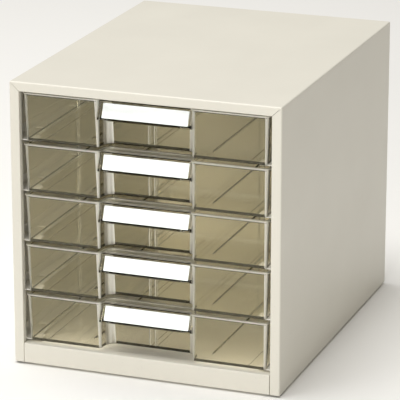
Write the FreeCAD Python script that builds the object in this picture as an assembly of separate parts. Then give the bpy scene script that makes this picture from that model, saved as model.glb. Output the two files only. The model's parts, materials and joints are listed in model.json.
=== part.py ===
"""Desktop letter case: a painted steel case with smoky plastic drawers.

Millimetres. The origin is under the middle of the case, at the bottom of the feet.
+Z is up, the drawer fronts face -Y and the drawers slide out along -Y.
"""

import FreeCAD
import Part
import os
from math import cos, hypot, radians, sin, tan

V = FreeCAD.Vector

# Steel case
case_width = 265.0
case_depth = 340.0
case_height = 275.0
case_sheet = 0.8
bend_radius = 1.6
side_flange = 9.5
top_flange = 9.0
flange_return = 6.5
flange_fold_radius = 0.6
bottom_return = 12.0
corner_seam = 0.3
weld_gap = 0.1

# Base: plinth, raised floor and feet
plinth_height = 19.0
plinth_seam = 0.5
plinth_lip = 12.0
plinth_side_return = 6.0
plinth_bottom_return = 8.0
floor_edge = 10.0
floor_behind_flange = 0.5
foot_height = 2.0
foot_radius = 5.0
foot_from_end = 20.0
foot_chamfer = 0.5

# Back panel
back_inset = 1.0
back_edge = 8.0

# Runners and top guides
runner_sheet = 0.9
runner_web = 10.0
runner_bearing = 5.2
runner_behind_flange = 1.0
runner_end_gap = 0.5
tab_length = 13.5
tab_reach = 4.4

# Drawers and their clearances
drawer_count = 5
drawer_gap = 2.4
floor_clearance = 2.8
top_clearance = 0.8
side_clearance = 2.0
front_setback = 0.5
rear_clearance = 0.8
slide_gap = 0.1
drawer_travel = 250.0

# Tray walls
tray_wall = 2.0
tray_floor = 2.0
tray_draft = 2.0
rim_height = 1.6
rim_lip = 1.2
rim_edge_radius = 0.4
bottom_edge_radius = 1.4
front_corner_radius = 6.0
rear_corner_radius = 9.0
smallest_radius = 0.4

# Finger recess in the tray front
recess_mouth = 89.2
recess_depth = 17.5
recess_lean = 7.3
recess_draft = 0.3
recess_front_radius = 6.0
recess_back_radius = 7.0

# Tilted label holder over the recess
holder_overhang = 1.4
holder_rise = 18.1
holder_tilt = 22.5
holder_plate = 1.6
holder_frame = 1.9
holder_end = 2.0
holder_top_bar = 3.2
holder_lip = 2.0
holder_lip_end_gap = 8.0
holder_from_rim_front = 0.1
stud_radius = 1.1
stud_offset = 1.6
web_thickness = 1.6

# Label card and cover
card_end_gap = 2.0
card_thickness = 0.3
cover_thickness = 0.8
label_gap = 0.05
label_side_gap = 0.15

# Ribs inside the tray
centre_rib_width = 2.2
centre_rib_spacing = 5.6
centre_rib_depth = 2.0
slot_rib_width = 1.4
slot_rib_spacing = 4.2
slot_rib_depth = 1.3
slot_first = 123.0
rib_top_drop = 3.0
floor_rib_offsets = (2.8, 59.5, 100.0)
floor_rib_heights = (0.4, 1.0, 0.5)
floor_rib_width = 1.6
floor_rib_end_gap = 2.0
floor_rib_recess_margin = 16.0

# Stop nibs under the tray
nib_length = 6.0
nib_drop = 0.8
nib_side_gap = 0.6
nib_gap = 0.2

# How far a cut passes the faces of what it cuts
cut_margin = 1.0

# Places worked out from the sizes
front = -case_depth / 2
back = case_depth / 2
base = foot_height
case_top = base + case_height
half_width = case_width / 2
inner_half = half_width - case_sheet
inner_top = case_top - case_sheet
opening_half = half_width - side_flange
opening_top = case_top - top_flange
floor_top = base + plinth_height - case_sheet
back_plate_front = back - back_inset - case_sheet

stack_height = case_height - plinth_height - top_flange - floor_clearance - top_clearance
pitch = (stack_height + drawer_gap) / drawer_count
tray_height = pitch - drawer_gap
lowest_tray = base + plinth_height + floor_clearance
body_top = tray_height - rim_height

rim_half = opening_half - side_clearance
tray_front = front + front_setback
tray_length = back_plate_front - rear_clearance - tray_front
ledge_reach = rim_half - rim_lip - tray_draft - runner_bearing
runner_front = front + flange_return + runner_behind_flange
runner_back = back_plate_front - back_edge - runner_end_gap

holder_half = recess_mouth / 2 + holder_overhang
holder_inner_half = holder_half - holder_end
holder_lip_half = holder_inner_half - holder_lip_end_gap
holder_slope = radians(holder_tilt)
holder_length = holder_rise / cos(holder_slope)
card_low = holder_lip + label_side_gap
card_high = holder_length - holder_top_bar - label_side_gap


def box(low, high):
    """Solid box between two opposite corners."""
    size = [high[axis] - low[axis] for axis in range(3)]
    return Part.makeBox(*size, V(*low))


def mirrored(shape):
    """Copy of a shape on the other side of the middle plane."""
    return shape.mirror(V(0, 0, 0), V(1, 0, 0))


def joined(shapes):
    """One clean solid from shapes that meet."""
    return shapes[0].fuse(shapes[1:]).removeSplitter()


def near(value, target):
    """Whether two lengths are the same place."""
    return abs(value - target) < 0.01


def rounded(shape, radius, test):
    """Shape with the edges rounded whose middle point passes a test."""
    edges = [edge for edge in shape.Edges if test(edge.CenterOfMass)]
    return shape.makeFillet(radius, edges)


def prism(points, depth):
    """Straight prism from a closed outline of points."""
    outline = Part.makePolygon([V(*point) for point in points + points[:1]])
    return Part.Face(outline).extrude(V(*depth))


# Case


def casing_shell():
    """Top and sides in one folded sheet, with flanges round the front opening."""
    def outer_bend(point):
        side = near(abs(point.x), half_width)
        top = near(point.z, case_top)
        face = near(point.y, front)
        return side and face or top and face or side and top

    def inner_bend(point):
        side = near(abs(point.x), inner_half)
        top = near(point.z, inner_top)
        face = near(point.y, front + case_sheet)
        return side and face or top and face or side and top

    outer = box((-half_width, front, base), (half_width, back, case_top))
    outer = rounded(outer, bend_radius, outer_bend)
    inner = box((-inner_half, front + case_sheet, base - cut_margin),
                (inner_half, back + cut_margin, inner_top))
    inner = rounded(inner, bend_radius - case_sheet, inner_bend)
    opening = box((-opening_half, front - cut_margin, base - cut_margin),
                  (opening_half, front + case_sheet + cut_margin, opening_top))
    folds = [outer.cut(inner).cut(opening)]
    return_back = front + flange_return
    side_return = box((opening_half, front, base),
                      (opening_half + case_sheet, return_back, opening_top + case_sheet))
    top_return = box((-opening_half, front, opening_top),
                     (opening_half, return_back, opening_top + case_sheet))
    foot_return = box((inner_half - bottom_return, return_back, base),
                      (half_width - case_sheet / 2, back_plate_front - weld_gap, base + case_sheet))
    folds += [side_return, mirrored(side_return), top_return, foot_return, mirrored(foot_return)]

    def opening_edge(point):
        side = near(abs(point.x), opening_half) and point.z > base + case_sheet
        return near(point.y, front) and (side or near(point.z, opening_top))

    shell = rounded(joined(folds), flange_fold_radius, opening_edge)
    seam = corner_seam_cut()
    return shell.cut(seam).cut(mirrored(seam))


def corner_seam_cut():
    """Thin slot along the mitre of a front corner, short of the outer bend."""
    across = half_width - opening_half
    up = case_top - opening_top
    full = hypot(across, up)
    length = full - bend_radius * 2 + case_sheet
    side = corner_seam / 2
    ends = []
    for along in (-case_sheet * 2, length):
        x = opening_half + across / full * along
        z = opening_top + up / full * along
        ends.append((x, z))
    offset = (-up / full * side, across / full * side)
    start = front - cut_margin
    points = [(ends[0][0] + offset[0], start, ends[0][1] + offset[1]),
              (ends[1][0] + offset[0], start, ends[1][1] + offset[1]),
              (ends[1][0] - offset[0], start, ends[1][1] - offset[1]),
              (ends[0][0] - offset[0], start, ends[0][1] - offset[1])]
    return prism(points, (0, flange_return + cut_margin * 2, 0))


def front_plinth():
    """Bent panel between the side flanges, with a lip over the floor panel."""
    half = opening_half - plinth_seam
    top = base + plinth_height
    bottom_half = min(half, inner_half - bottom_return - weld_gap)
    face = box((-half, front, base), (half, front + case_sheet, top))
    lip = box((-half, front, top - case_sheet), (half, front + plinth_lip, top))
    bottom = box((-bottom_half, front, base),
                 (bottom_half, front + plinth_bottom_return, base + case_sheet))
    side = box((half - case_sheet, front, base), (half, front + plinth_side_return, top))
    panel = joined([face, lip, bottom, side, mirrored(side)])
    return rounded(panel, flange_fold_radius, lambda point: near(point.y, front) and near(point.z, top))


def floor_panel():
    """Raised floor: a plate with its four edges turned down."""
    half = inner_half - weld_gap
    low = front + flange_return + floor_behind_flange
    high = back_plate_front - weld_gap
    outer = box((-half, low, floor_top - floor_edge), (half, high, floor_top))
    inner = box((-half + case_sheet, low + case_sheet, floor_top - floor_edge - cut_margin),
                (half - case_sheet, high - case_sheet, floor_top - case_sheet))
    return outer.cut(inner)


def back_panel():
    """Back plate set into the case, with edges turned forwards along the top and sides."""
    half = inner_half - weld_gap
    top = inner_top - weld_gap
    edge_front = back_plate_front - back_edge
    plate = box((-half, back_plate_front, base), (half, back - back_inset, top))
    side = box((half - case_sheet, edge_front, floor_top + weld_gap),
               (half, back_plate_front, top))
    upper = box((-half, edge_front, top - case_sheet), (half, back_plate_front, top))
    panel = joined([plate, side, mirrored(side), upper])
    return panel.common(rounded_top_block(half, top, bend_radius))


def rounded_top_block(half, top, radius):
    """Block as wide as the back panel, with its two long top edges rounded."""
    block = box((-half, front, base), (half, back, top))
    return rounded(block, radius, lambda point: near(abs(point.x), half) and near(point.z, top))


def runner(level, web_top):
    """Right-hand L section that carries a tray, with its ledge just under a level."""
    wall = inner_half - weld_gap
    ledge_top = level - slide_gap
    ledge_low = ledge_top - runner_sheet
    web = box((wall - runner_sheet, runner_front, ledge_low), (wall, runner_back, web_top))
    ledge = box((ledge_reach, runner_front, ledge_low), (wall, runner_back, ledge_top))
    return [web, ledge]


def tray_runner(level):
    """Runner with the wider front tab that the stop nibs meet."""
    ledge_top = level - slide_gap
    tab = box((ledge_reach - tab_reach, runner_front, ledge_top - runner_sheet),
              (ledge_reach + cut_margin, runner_front + tab_length, ledge_top))
    return joined(runner(level, ledge_top - runner_sheet + runner_web) + [tab])


def top_guide():
    """Guide over the rim of the top drawer, with its web up to the case top."""
    level = lowest_tray + drawer_count * pitch
    web_top = inner_top - weld_gap - (bend_radius - case_sheet)
    return joined(runner(level, web_top))


def foot(x, y):
    """Round rubber foot under a bottom return."""
    disc = Part.makeCylinder(foot_radius, foot_height, V(x, y, 0))
    return disc.makeChamfer(foot_chamfer, [edge for edge in disc.Edges if near(edge.CenterOfMass.z, 0)])


# Tray, in its own frame: x = 0 in the middle, y = 0 at the rim's front, z = 0 at its underside


def rounded_wire(corners, height):
    """Closed wire at a height through corners (x, y, radius), each one rounded."""
    arcs = []
    for index, (x, y, radius) in enumerate(corners):
        here = V(x, y, height)
        towards = []
        for other in (corners[index - 1], corners[(index + 1) % len(corners)]):
            towards.append((V(other[0], other[1], height) - here).normalize())
        half_angle = towards[0].getAngle(towards[1]) / 2
        setback = radius / tan(half_angle)
        middle = (towards[0] + towards[1]).normalize()
        arcs.append((here + towards[0] * setback,
                     here + middle * (radius / sin(half_angle) - radius),
                     here + towards[1] * setback))
    edges = []
    for index, (start, middle, end) in enumerate(arcs):
        following = arcs[(index + 1) % len(arcs)][0]
        edges.append(Part.Arc(start, middle, end).toShape())
        edges.append(Part.LineSegment(end, following).toShape())
    return Part.Wire(edges)


def tray_outline(height, inset, recess_inset):
    """Plan of the tray at a height, moved inwards, with the finger recess at the front."""
    side = rim_half - inset
    rear = tray_length - inset
    recess_back = recess_depth + inset
    lean = tan(radians(recess_lean))
    mouth = recess_mouth / 2 + recess_inset / cos(radians(recess_lean))
    front_radius = max(front_corner_radius - inset, smallest_radius)
    rear_radius = max(rear_corner_radius - inset, smallest_radius)
    mouth_radius = max(recess_front_radius - inset, smallest_radius)
    half = [(mouth - recess_back * lean, recess_back, recess_back_radius + inset),
            (mouth - inset * lean, inset, mouth_radius),
            (side, inset, front_radius),
            (side, rear, rear_radius)]
    left = [(-x, y, radius) for x, y, radius in reversed(half)]
    return rounded_wire(half + left, height)


def body_outline(height, wall):
    """Outline of the drafted tray body at a height, moved inwards by a wall."""
    low_share = 1 - height / body_top
    inset = rim_lip + tray_draft * low_share + wall
    recess_inset = rim_lip + recess_draft * low_share + wall
    return tray_outline(height, inset, recess_inset)


def side_wall_x(height):
    """Inner face of the tray's right side wall at a height."""
    return rim_half - rim_lip - tray_draft * (1 - height / body_top) - tray_wall


def tray_cavity():
    """Space inside the tray, from its floor to above its rim."""
    low = Part.makeLoft([body_outline(tray_floor, tray_wall), body_outline(body_top, tray_wall)],
                        True, True)
    mouth = Part.Face(body_outline(body_top, tray_wall)).extrude(V(0, 0, rim_height + cut_margin))
    return low.fuse(mouth)


def on_holder(piece):
    """Piece from the holder's own frame, tilted and put in its place over the recess.

    In that frame x runs across, -y outwards from the card and z up the holder.
    """
    piece.rotate(V(0, 0, 0), V(1, 0, 0), -holder_tilt)
    piece.translate(V(0, holder_from_rim_front + holder_frame * cos(holder_slope), body_top - holder_rise))
    return piece


def label_part(half, depth, rise):
    """Bar across the holder, between two depths outwards from the card and two heights up it."""
    return on_holder(box((-half, -depth[1], rise[0]), (half, -depth[0], rise[1])))


def label_holder():
    """Tilted plate with end cheeks, a bottom lip, clip studs and a top bar."""
    sunk = -holder_plate / 2
    plate = label_part(holder_half, (-holder_plate, 0), (0, holder_length))
    lip = label_part(holder_lip_half, (sunk, holder_frame), (0, holder_lip))
    top_bar = label_part(holder_half, (sunk, holder_frame), (holder_length - holder_top_bar, holder_length))
    cheek = on_holder(box((holder_inner_half, -holder_frame, 0), (holder_half, -sunk, holder_length)))
    stud = on_holder(Part.makeCylinder(stud_radius, holder_frame + holder_plate,
                                       V(holder_lip_half + stud_offset, holder_plate, holder_lip - stud_radius),
                                       V(0, -1, 0)))
    pieces = [plate, lip, top_bar, cheek, mirrored(cheek), stud, mirrored(stud)]
    below_rim = box((-holder_half, -holder_frame, 0), (holder_half, recess_depth, body_top))
    return joined(pieces).common(below_rim)


def holder_web():
    """Flat web from the top of the label holder to the back of the recess."""
    start = holder_from_rim_front + holder_frame * cos(holder_slope) + holder_rise * tan(holder_slope)
    end = recess_depth + rim_lip + tray_draft + tray_wall
    half = recess_mouth / 2 + rim_lip
    return box((-half, start, body_top - web_thickness), (half, end, body_top))


def centre_ribs():
    """Upright ribs on the recess wall and the rear wall that hold a divider in the middle."""
    ribs = []
    top = body_top - rib_top_drop
    drafted = rim_lip + tray_draft + tray_wall
    for side in (-1, 1):
        middle = side * centre_rib_spacing / 2
        left = middle - centre_rib_width / 2
        right = middle + centre_rib_width / 2
        recess_end = recess_depth + drafted + centre_rib_depth
        rear_start = tray_length - drafted - centre_rib_depth
        ribs.append(box((left, recess_depth, 0), (right, recess_end, top)))
        ribs.append(box((left, rear_start, 0), (right, tray_length, top)))
    return ribs


def side_slot_ribs():
    """Pairs of upright ribs on both side walls that hold a cross divider."""
    ribs = []
    top = body_top - rib_top_drop
    for station in (slot_first, tray_length - slot_first):
        for side in (-1, 1):
            start = station + side * slot_rib_spacing / 2 - slot_rib_width / 2
            points = [(rim_half, start, 0), (side_wall_x(0) - slot_rib_depth, start, 0),
                      (side_wall_x(top) - slot_rib_depth, start, top), (rim_half, start, top)]
            rib = prism(points, (0, slot_rib_width, 0))
            ribs += [rib, mirrored(rib)]
    return ribs


def floor_ribs():
    """Low ribs along the floor that lift the sheets off it."""
    ribs = []
    drafted = rim_lip + tray_draft + tray_wall
    end = tray_length - drafted - floor_rib_end_gap
    for offset, height in zip(floor_rib_offsets, floor_rib_heights):
        behind_recess = offset < recess_mouth / 2 + floor_rib_recess_margin
        start = drafted + (recess_depth if behind_recess else floor_rib_end_gap)
        rib = box((offset - floor_rib_width / 2, start, 0),
                  (offset + floor_rib_width / 2, end, tray_floor + height))
        ribs += [rib, mirrored(rib)]
    return ribs


def stop_nib():
    """Nib under the tray that meets the runner's front tab at full travel."""
    outer = ledge_reach - nib_side_gap
    inner = ledge_reach - tab_reach + nib_side_gap
    start = runner_front + tab_length - tray_front + drawer_travel + nib_gap
    return box((inner, start, -nib_drop), (outer, start + nib_length, tray_floor / 2))


def tray():
    """Moulded tray with its rim, recess, label holder, ribs and stop nibs."""
    body = Part.makeLoft([body_outline(0, 0), body_outline(body_top, 0)], True, True)
    body = rounded(body, bottom_edge_radius, lambda point: near(point.z, 0))
    rim = Part.Face(tray_outline(body_top, 0, 0)).extrude(V(0, 0, rim_height))
    rim = rounded(rim, rim_edge_radius, lambda point: near(point.z, tray_height))
    cavity = tray_cavity()
    shell = body.fuse([rim, holder_web(), label_holder()]).cut(cavity)
    inside = [rib.common(cavity) for rib in centre_ribs() + side_slot_ribs() + floor_ribs()]
    nib = stop_nib()
    return shell.fuse(inside + [nib, mirrored(nib)]).removeSplitter()


def label_card():
    """Paper card in the holder."""
    return label_part(holder_inner_half - card_end_gap, (label_gap, label_gap + card_thickness),
                      (card_low, card_high))


def label_cover():
    """Clear strip over the card, between the holder's end cheeks."""
    start = label_gap * 2 + card_thickness
    return label_part(holder_inner_half - label_side_gap, (start, start + cover_thickness),
                      (card_low, card_high))


def write(name, shape):
    """Write one piece to its own file."""
    shape.exportStep(f"parts/{name}.step")


def main():
    os.makedirs("parts", exist_ok=True)
    write("casing_shell", casing_shell())
    write("back_panel", back_panel())
    write("floor_panel", floor_panel())
    write("front_plinth", front_plinth())
    write("right_top_guide", top_guide())
    write("left_top_guide", mirrored(top_guide()))
    foot_x = inner_half - bottom_return / 2
    foot_y = case_depth / 2 - foot_from_end
    for end, y in (("front", -foot_y), ("back", foot_y)):
        write(f"foot_{end}_right", foot(foot_x, y))
        write(f"foot_{end}_left", foot(-foot_x, y))

    pieces = {"tray": tray(), "label_card": label_card(), "label_cover": label_cover()}
    for number in range(1, drawer_count + 1):
        level = lowest_tray + (drawer_count - number) * pitch
        write(f"right_runner_{number}", tray_runner(level))
        write(f"left_runner_{number}", mirrored(tray_runner(level)))
        for name, shape in pieces.items():
            write(f"drawer_{number}_{name}", shape.translated(V(0, tray_front, level)))


main()
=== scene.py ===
"""A desktop letter case: a painted steel case with five smoky drawers that slide out.

Lengths are in metres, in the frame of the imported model. There x runs to the right of a person
who faces the drawers, y runs from their fronts to the back of the case, and z is up from the
bottom of the feet.
"""

from __future__ import annotations

import json
import logging
from abc import ABC, abstractmethod
from collections.abc import Callable, Mapping, Sequence
from dataclasses import dataclass
from enum import Enum
from math import atan2, cos, hypot, pi, radians, sin, tan
from typing import NamedTuple

import bmesh
import bpy
from mathutils import Matrix, Vector


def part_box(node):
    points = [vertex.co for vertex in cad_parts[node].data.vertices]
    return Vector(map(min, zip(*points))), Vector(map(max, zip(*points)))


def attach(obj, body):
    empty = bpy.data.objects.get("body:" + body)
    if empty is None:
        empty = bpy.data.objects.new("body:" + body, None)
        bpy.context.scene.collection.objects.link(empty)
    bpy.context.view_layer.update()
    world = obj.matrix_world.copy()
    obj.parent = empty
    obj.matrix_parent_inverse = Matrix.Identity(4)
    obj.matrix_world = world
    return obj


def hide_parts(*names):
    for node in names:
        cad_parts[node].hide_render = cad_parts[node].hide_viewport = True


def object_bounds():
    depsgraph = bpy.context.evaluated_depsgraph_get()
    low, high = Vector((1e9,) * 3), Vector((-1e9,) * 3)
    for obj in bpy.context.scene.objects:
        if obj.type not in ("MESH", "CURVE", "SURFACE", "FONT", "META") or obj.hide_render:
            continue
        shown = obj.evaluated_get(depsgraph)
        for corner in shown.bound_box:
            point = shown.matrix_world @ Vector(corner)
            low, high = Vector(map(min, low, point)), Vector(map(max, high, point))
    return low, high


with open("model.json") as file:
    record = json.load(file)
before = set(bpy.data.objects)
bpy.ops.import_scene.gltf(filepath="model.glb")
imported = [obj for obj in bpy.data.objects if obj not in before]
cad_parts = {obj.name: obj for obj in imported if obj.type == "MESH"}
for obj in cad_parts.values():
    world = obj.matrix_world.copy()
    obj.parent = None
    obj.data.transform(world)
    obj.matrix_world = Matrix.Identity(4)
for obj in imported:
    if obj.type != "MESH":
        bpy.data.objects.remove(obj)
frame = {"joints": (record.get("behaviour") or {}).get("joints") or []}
cad_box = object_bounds()

LOG = logging.getLogger("letter_case")

MM = 0.001
HALF_TURN = pi
QUARTER_TURN = pi / 2

Colour = tuple[float, float, float]
Point = tuple[float, float]


# Shader nodes


class Signal:
    """A number or colour that changes over a surface, held as the output socket of a node."""

    def __init__(self, recipe: Recipe, socket: bpy.types.NodeSocket) -> None:
        """Keep the recipe that the socket belongs to.

        Args:
            recipe: The finish whose nodes are being laid out.
            socket: The output that carries the signal.
        """
        self.recipe = recipe
        self.socket = socket

    def __add__(self, other: Amount) -> Signal:
        """This plus another amount."""
        return self.recipe.arithmetic("ADD", self, other)

    def __sub__(self, other: Amount) -> Signal:
        """This less another amount."""
        return self.recipe.arithmetic("SUBTRACT", self, other)

    def __rsub__(self, other: float) -> Signal:
        """A number less this."""
        return self.recipe.arithmetic("SUBTRACT", other, self)

    def __mul__(self, other: Amount) -> Signal:
        """This times another amount."""
        return self.recipe.arithmetic("MULTIPLY", self, other)

    __radd__ = __add__
    __rmul__ = __mul__


Amount = float | Signal
SocketValue = float | Sequence[float] | Signal


class Band(NamedTuple):
    """Where a mask fades in along an amount and, unless it runs on to the end, out again."""

    start: float
    full: float
    fading: float | None = None
    end: float | None = None

    def stops(self) -> list[Point]:
        """The places and greys of its ramp."""
        rise = [(self.start, 0.0), (self.full, 1.0)]
        return rise if self.end is None else [*rise, (self.fading, 1.0), (self.end, 0.0)]


class Recipe:
    """The node tree of one finish, laid out from its shader."""

    def __init__(self, name: str, shader: Mapping[str, SocketValue]) -> None:
        """Start a material.

        Args:
            name: The material's name.
            shader: Plain values for the sockets of its shader.
        """
        self.material = bpy.data.materials.new(name)
        self.material.use_nodes = True
        self.tree = self.material.node_tree
        self.tree.nodes.clear()
        self.surface = self.add("ShaderNodeBsdfPrincipled", sockets=shader)
        self.shader = self.surface.socket.node
        self.inside: Signal | None = None
        self.place = self.add("ShaderNodeTexCoord", output="Object")

    def add(self, kind: str, settings: Mapping[str, object] | None = None,
            sockets: Mapping[str, SocketValue] | None = None, output: str | None = "") -> Signal | None:
        """Add one node, its settings first and then its sockets.

        Args:
            kind: The node's type.
            settings: Its properties; "stops" gives a ramp's places and greys.
            sockets: Values or links for its inputs, by name.
            output: The output wanted; the first one if empty, or none at all.

        Returns:
            The wanted output as a signal.
        """
        node = self.tree.nodes.new(kind)
        for name, value in (settings or {}).items():
            if name == "stops":
                self.set_stops(node.color_ramp, value)
            else:
                setattr(node, name, value)
        for name, value in (sockets or {}).items():
            self.feed(node, name, value)
        if output is None:
            return None
        shown = [socket for socket in node.outputs if socket.enabled]
        return Signal(self, next(socket for socket in shown if output in ("", socket.name)))

    def feed(self, node: bpy.types.Node, name: str, value: SocketValue) -> None:
        """Set or link one input of a node.

        Args:
            node: The node.
            name: The input's name.
            value: A plain value, or a signal to link.
        """
        socket = next(entry for entry in node.inputs if entry.enabled and entry.name == name)
        if isinstance(value, Signal):
            self.tree.links.new(value.socket, socket)
        elif socket.type == "RGBA":
            socket.default_value = (*value, 1.0)
        else:
            socket.default_value = value

    @staticmethod
    def set_stops(ramp: bpy.types.ColorRamp, stops: Sequence[Point]) -> None:
        """Give a ramp its stops.

        Args:
            ramp: The ramp.
            stops: Pairs of a place and a grey, from low to high.
        """
        while len(ramp.elements) < len(stops):
            ramp.elements.new(1.0)
        for element, (place, grey) in zip(ramp.elements, stops):
            element.position = place
            element.color = (grey, grey, grey, 1.0)

    def arithmetic(self, operation: str, first: Amount, second: Amount) -> Signal:
        """A Math node on two amounts.

        Args:
            operation: What the node does with them.
            first: The first amount.
            second: The second one.

        Returns:
            The result.
        """
        node = self.add("ShaderNodeMath", {"operation": operation})
        for socket, value in zip(node.socket.node.inputs, (first, second)):
            if isinstance(value, Signal):
                self.tree.links.new(value.socket, socket)
            else:
                socket.default_value = value
        return node

    def noise(self, size: float, detail: float = 2.0, stretch: Sequence[float] = (1.0, 1.0, 1.0)) -> Signal:
        """Cloudy noise in the object's own space.

        Args:
            size: The width of its largest clouds.
            detail: How many finer layers lie on them.
            stretch: How much longer the clouds are along each axis.

        Returns:
            A signal about 0.5, from 0 to 1.
        """
        scale = [1.0 / length for length in stretch]
        vector = self.add("ShaderNodeVectorMath", {"operation": "MULTIPLY"},
                          {"Vector": self.place}, "Vector")
        vector.socket.node.inputs[1].default_value = scale
        return self.add("ShaderNodeTexNoise",
                        sockets={"Vector": vector, "Scale": 1.0 / size, "Detail": detail})

    def facing(self) -> list[Signal]:
        """How far the surface faces along each of the object's own axes.

        Returns:
            Three signals from -1 to 1, for x, y and z.
        """
        outward = self.add("ShaderNodeTexCoord", output="Normal")
        parts = self.add("ShaderNodeSeparateXYZ", sockets={"Vector": outward})
        return [Signal(self, socket) for socket in parts.socket.node.outputs]

    def share_of_height(self) -> Signal:
        """How far up the piece a point lies, from 0 at its foot to 1 at its top."""
        spread = self.add("ShaderNodeTexCoord", output="Generated")
        return self.add("ShaderNodeSeparateXYZ", sockets={"Vector": spread}, output="Z")

    def most(self, first: Amount, second: Amount) -> Signal:
        """The larger of two amounts."""
        return self.arithmetic("MAXIMUM", first, second)

    def curve(self, signal: Signal, stops: Sequence[Point]) -> Signal:
        """A signal sent through a ramp of greys."""
        return self.add("ShaderNodeValToRGB", {"stops": stops}, {"Fac": signal})

    def mask(self, signal: Signal, band: Band) -> Signal:
        """How far a signal lies inside a band, from 0 to 1."""
        return self.curve(signal, band.stops())

    def blend(self, low: SocketValue, high: SocketValue, share: Amount) -> Signal:
        """A colour between two others."""
        return self.add("ShaderNodeMix", {"data_type": "RGBA"}, {"Factor": share, "A": low, "B": high})

    def relief(self, height: Signal, depth: float) -> Signal:
        """A bump of a real depth."""
        return self.add("ShaderNodeBump", sockets={"Height": height, "Distance": depth, "Strength": 1.0})

    def let_lamps_through(self, tint: Colour) -> None:
        """Let lamplight pass straight through the surface, so that what it shuts in is lit.

        Args:
            tint: What is left of the light after one face.
        """
        lamp_ray = self.add("ShaderNodeLightPath", output="Is Shadow Ray")
        clear = self.add("ShaderNodeBsdfTransparent", sockets={"Color": tint})
        mix = self.add("ShaderNodeMixShader", sockets={"Fac": lamp_ray})
        for socket, side in zip(mix.socket.node.inputs[1:], (self.surface, clear)):
            self.tree.links.new(side.socket, socket)
        self.surface = mix

    def fill(self, colour: Colour, density: float) -> None:
        """Fill the body with a clear dye that darkens light by the way it goes inside.

        Args:
            colour: The dye's colour.
            density: How much of the other colours it takes in a metre.
        """
        self.inside = self.add("ShaderNodeVolumeAbsorption", sockets={"Color": colour, "Density": density})

    def dress(self, **sockets: Signal) -> bpy.types.Material:
        """Feed the shader's varying sockets and join it to the output.

        Args:
            sockets: Signals by the socket's name, with underscores for spaces.

        Returns:
            The finished material.
        """
        for name, signal in sockets.items():
            self.feed(self.shader, name.replace("_", " "), signal)
        ends = {"Surface": self.surface, "Volume": self.inside} if self.inside else {"Surface": self.surface}
        self.add("ShaderNodeOutputMaterial", sockets=ends, output=None)
        return self.material


# Finishes


class Finish(ABC):
    """A surface finish that pieces are dressed in."""

    @abstractmethod
    def material(self) -> bpy.types.Material:
        """Lay out the finish's nodes."""


def shaded(colour: Colour, factor: float) -> Colour:
    """A colour made lighter or darker by a factor."""
    return tuple(min(channel * factor, 1.0) for channel in colour)


@dataclass(frozen=True)
class Enamel(Finish):
    """Baked enamel on sheet steel: satin, with a fine orange peel and faint handling marks."""

    name: str
    colour: Colour
    roughness: float = 0.36
    peel_size: float = 1.3 * MM
    peel_depth: float = 0.012 * MM
    cloud_size: float = 60 * MM
    cloud_contrast: float = 0.03
    speck_size: float = 2.2 * MM
    speck_band: Band = Band(0.70, 0.78)
    speck_shade: float = 0.86
    speck_strength: float = 0.35
    wear_size: float = 35 * MM
    wear: float = 0.12

    def material(self) -> bpy.types.Material:
        """Lay out the enamel's nodes.

        Returns:
            The finished material.
        """
        recipe = Recipe(self.name, {"IOR": 1.5, "Specular IOR Level": 0.3, "Coat Roughness": 0.15,
                                    "Coat Weight": 0.1})
        clouds = recipe.noise(self.cloud_size, detail=3.0)
        specks = recipe.mask(recipe.noise(self.speck_size, detail=1.0), self.speck_band)
        tone = recipe.blend(shaded(self.colour, 1 - self.cloud_contrast),
                            shaded(self.colour, 1 + self.cloud_contrast), clouds)
        colour = recipe.blend(tone, shaded(self.colour, self.speck_shade), specks * self.speck_strength)
        wiped = recipe.noise(self.wear_size, detail=4.0, stretch=(1.0, 4.0, 1.0))
        rough = (wiped - 0.5) * self.wear + self.roughness
        peel = recipe.relief(recipe.noise(self.peel_size, detail=2.0), self.peel_depth)
        return recipe.dress(Base_Color=colour, Roughness=rough, Normal=peel)


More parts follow.
